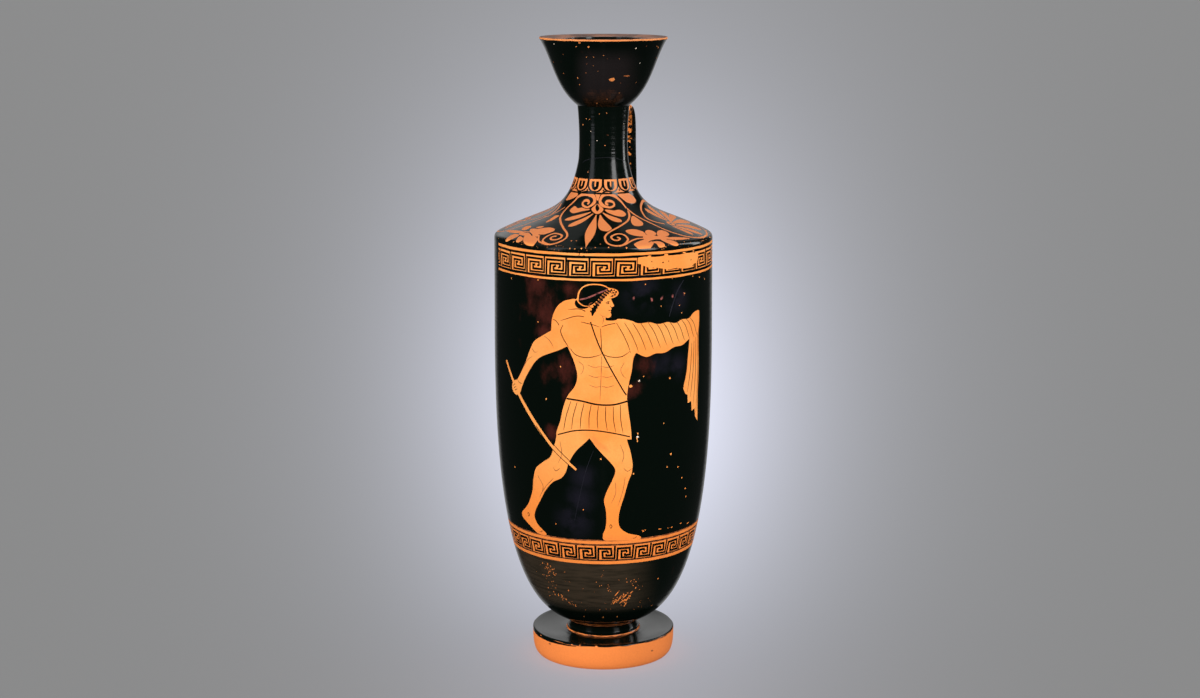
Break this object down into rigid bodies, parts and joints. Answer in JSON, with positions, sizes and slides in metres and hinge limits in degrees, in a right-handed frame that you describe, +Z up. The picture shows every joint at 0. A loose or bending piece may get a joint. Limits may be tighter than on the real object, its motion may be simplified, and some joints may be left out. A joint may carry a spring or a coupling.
{
  "type": "oil flask",
  "caption": "Tall oil flask of fired clay with a cup mouth, narrow neck, sloping shoulder, strap handle, slender body and disc foot.",
  "frame": {"origin": "on the ground, in the middle of the foot", "axes": "+Z up along the axis that the flask was thrown on, -Y towards the painted front, the handle behind"},
  "size_m": [0.1394, 0.1394, 0.4],
  "materials": {
    "glazed_clay": "gloss"
  },
  "bodies": {
    "root": {"flask": "glazed_clay"}
  },
  "joints": []
}
